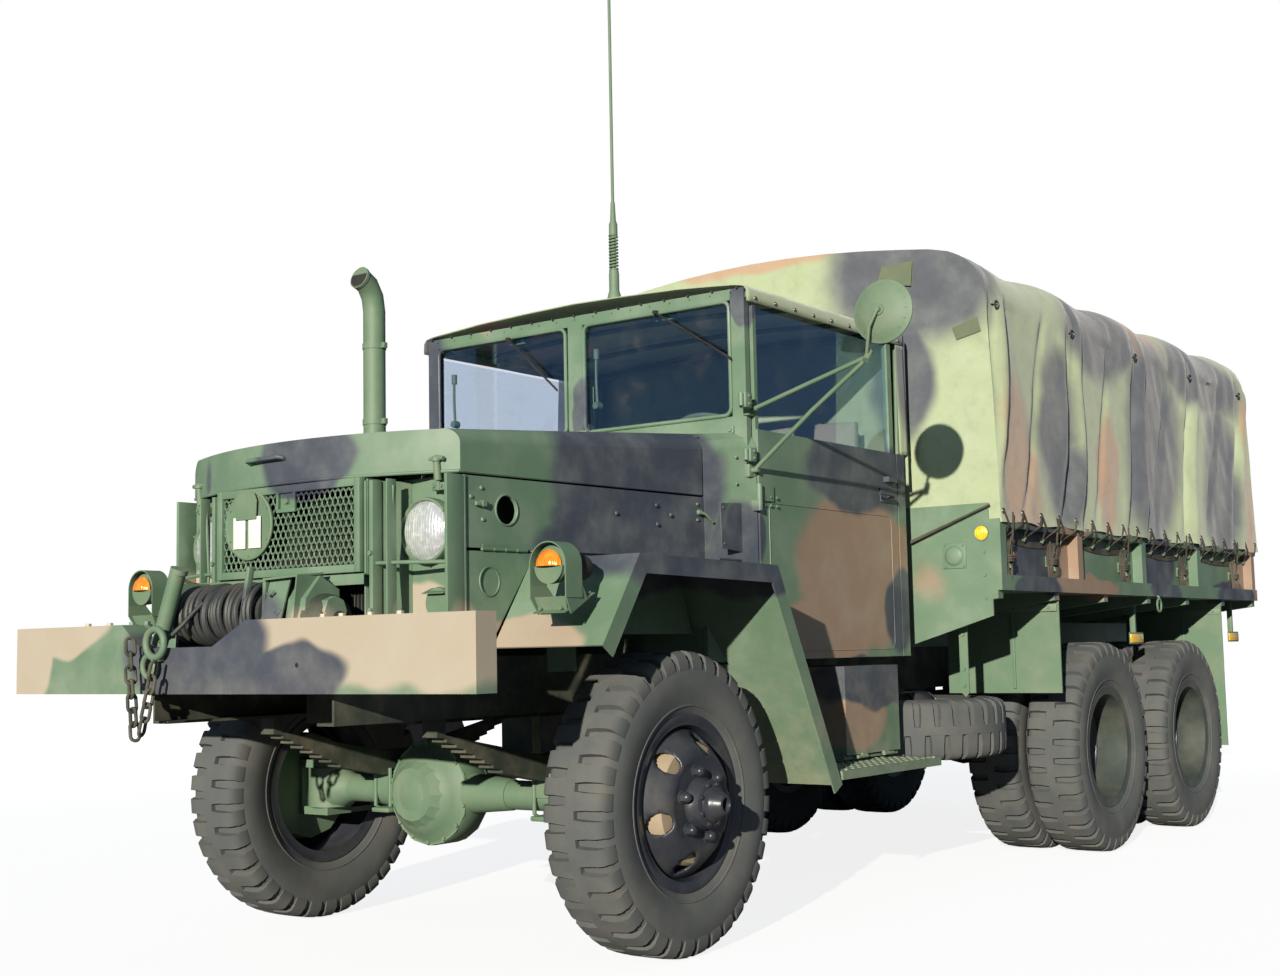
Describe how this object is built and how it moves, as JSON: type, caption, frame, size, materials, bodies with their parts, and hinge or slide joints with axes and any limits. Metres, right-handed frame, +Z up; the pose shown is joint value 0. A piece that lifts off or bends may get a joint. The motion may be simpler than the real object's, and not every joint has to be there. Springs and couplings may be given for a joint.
{
  "type": "all-wheel-drive military cargo truck",
  "caption": "Military cargo truck with front winch, hinged hood and doors, canvas cab roof, tarp-covered cargo bed with drop tailgate, steered front wheels and twin rear wheels.",
  "frame": {"origin": "on the ground under the middle of the front axle", "axes": "+X towards the truck's left side, +Y rearwards along its length, +Z up"},
  "size_m": [2.7239, 7.0903, 5.65],
  "materials": {
    "camouflage_paint": "matte camouflage paint",
    "chassis_black": "dark matte paint",
    "tyre_rubber": "worn",
    "wire_rope": "greased",
    "canvas": "faded canvas",
    "seat_cloth": "woven",
    "window_glass": "clear",
    "flap_rubber": "matte",
    "rack_wood": "painted wood"
  },
  "bodies": {
    "chassis": {"frame_rails": "chassis_black", "front_bumper": "camouflage_paint", "winch": "camouflage_paint", "winch_rope": "wire_rope", "tow_hook": "camouflage_paint", "tow_chain": "chassis_black", "engine_block": "chassis_black", "radiator": "chassis_black", "drive_line": "chassis_black", "front_axle": "chassis_black", "rear_axles": "chassis_black", "leaf_springs": "chassis_black", "mud_flaps": "flap_rubber", "fuel_tank": "camouflage_paint", "battery_box": "camouflage_paint", "toolbox": "camouflage_paint", "side_steps": "camouflage_paint", "spare_tyre": "tyre_rubber", "spare_rim": "camouflage_paint", "pintle_hook": "chassis_black", "nose_panels": "camouflage_paint", "grille": "camouflage_paint", "headlamps": "camouflage_paint", "signal_lamps": "camouflage_paint", "cowl": "camouflage_paint", "fenders": "camouflage_paint", "cab_body": "camouflage_paint", "windshield": "camouflage_paint", "windshield_glass": "window_glass", "cab_roof": "canvas", "seats": "seat_cloth", "steering_wheel": "camouflage_paint", "exhaust_stack": "chassis_black", "mirror": "camouflage_paint", "antenna": "camouflage_paint", "cargo_bed": "camouflage_paint", "side_racks": "rack_wood", "tarp_bows": "rack_wood", "tarp": "canvas"},
    "hood": {"hood": "camouflage_paint"},
    "door_left": {"door_left": "camouflage_paint", "door_glass_left": "window_glass"},
    "door_right": {"door_right": "camouflage_paint", "door_glass_right": "window_glass"},
    "tailgate": {"tailgate": "camouflage_paint"},
    "toolbox_door": {"toolbox_door": "camouflage_paint"},
    "knuckle_left": {"knuckle_left": "chassis_black"},
    "knuckle_right": {"knuckle_right": "chassis_black"},
    "front_wheel_left": {"front_tyre_left": "tyre_rubber", "front_rim_left": "camouflage_paint"},
    "front_wheel_right": {"front_tyre_right": "tyre_rubber", "front_rim_right": "camouflage_paint"},
    "rear_wheel_1_left": {"rear_tyres_1_left": "tyre_rubber", "rear_rims_1_left": "camouflage_paint"},
    "rear_wheel_1_right": {"rear_tyres_1_right": "tyre_rubber", "rear_rims_1_right": "camouflage_paint"},
    "rear_wheel_2_left": {"rear_tyres_2_left": "tyre_rubber", "rear_rims_2_left": "camouflage_paint"},
    "rear_wheel_2_right": {"rear_tyres_2_right": "tyre_rubber", "rear_rims_2_right": "camouflage_paint"}
  },
  "joints": [
    {"name": "steer_left", "type": "hinge", "parent": "chassis", "child": "knuckle_left", "pos_m": [0.742, 0, 0.50397], "axis": [0, 0, 1], "range_deg": [-28, 28]},
    {"name": "steer_right", "type": "hinge", "parent": "chassis", "child": "knuckle_right", "pos_m": [-0.742, 0, 0.50397], "axis": [0, 0, 1], "range_deg": [-28, 28]},
    {"name": "spin_front_left", "type": "hinge", "parent": "knuckle_left", "child": "front_wheel_left", "pos_m": [0.861, 0, 0.50397], "axis": [1, 0, 0], "continuous": true},
    {"name": "spin_front_right", "type": "hinge", "parent": "knuckle_right", "child": "front_wheel_right", "pos_m": [-0.861, 0, 0.50397], "axis": [1, 0, 0], "continuous": true},
    {"name": "spin_rear_1_left", "type": "hinge", "parent": "chassis", "child": "rear_wheel_1_left", "pos_m": [0.908, 3.302, 0.50397], "axis": [1, 0, 0], "continuous": true},
    {"name": "spin_rear_1_right", "type": "hinge", "parent": "chassis", "child": "rear_wheel_1_right", "pos_m": [-0.908, 3.302, 0.50397], "axis": [1, 0, 0], "continuous": true},
    {"name": "spin_rear_2_left", "type": "hinge", "parent": "chassis", "child": "rear_wheel_2_left", "pos_m": [0.908, 4.521, 0.50397], "axis": [1, 0, 0], "continuous": true},
    {"name": "spin_rear_2_right", "type": "hinge", "parent": "chassis", "child": "rear_wheel_2_right", "pos_m": [-0.908, 4.521, 0.50397], "axis": [1, 0, 0], "continuous": true},
    {"name": "hood_hinge", "type": "hinge", "parent": "chassis", "child": "hood", "pos_m": [0, 0.489, 1.86], "axis": [-1, 0, 0], "range_deg": [0, 55]},
    {"name": "door_left_hinge", "type": "hinge", "parent": "chassis", "child": "door_left", "pos_m": [0.852, 0.672, 1.35], "axis": [0, 0, -1], "range_deg": [0, 70]},
    {"name": "door_right_hinge", "type": "hinge", "parent": "chassis", "child": "door_right", "pos_m": [-0.852, 0.672, 1.35], "axis": [0, 0, 1], "range_deg": [0, 70]},
    {"name": "tailgate_hinge", "type": "hinge", "parent": "chassis", "child": "tailgate", "pos_m": [0, 5.731, 1.296], "axis": [-1, 0, 0], "range_deg": [0, 175]},
    {"name": "toolbox_hinge", "type": "hinge", "parent": "chassis", "child": "toolbox_door", "pos_m": [0.906, 1.408, 0.574], "axis": [0, 1, 0], "range_deg": [0, 90]}
  ],
  "couplings": [
    {"joint": "steer_right", "follows": "steer_left", "ratio": 1}
  ]
}
